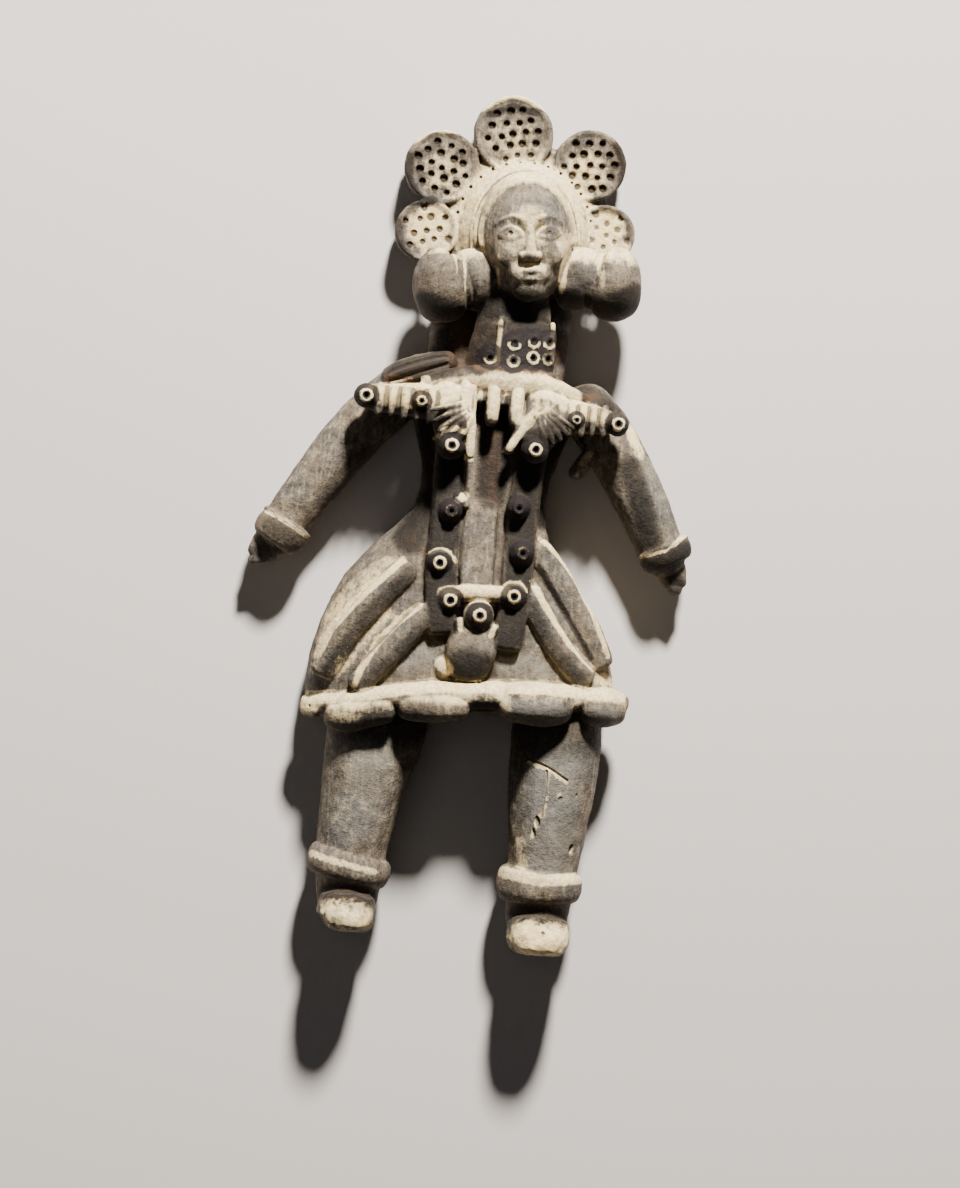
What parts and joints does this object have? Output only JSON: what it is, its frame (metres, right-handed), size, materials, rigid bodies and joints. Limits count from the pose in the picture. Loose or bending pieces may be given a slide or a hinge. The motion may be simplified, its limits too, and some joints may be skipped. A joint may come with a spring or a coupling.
{
  "type": "terracotta figurine",
  "caption": "Flat-backed fired-clay figure of a dignitary in a disc headdress, ear spools, beaded stole and bell skirt, lying face up.",
  "frame": {"origin": "middle of the outline, on the plane of the flat back", "axes": "+X to the viewer's right, +Y from the feet to the headdress, +Z out of the face"},
  "size_m": [0.1472, 0.2816, 0.0459],
  "materials": {
    "fired_clay": "matte"
  },
  "bodies": {
    "root": {"figurine": "fired_clay"}
  },
  "joints": []
}
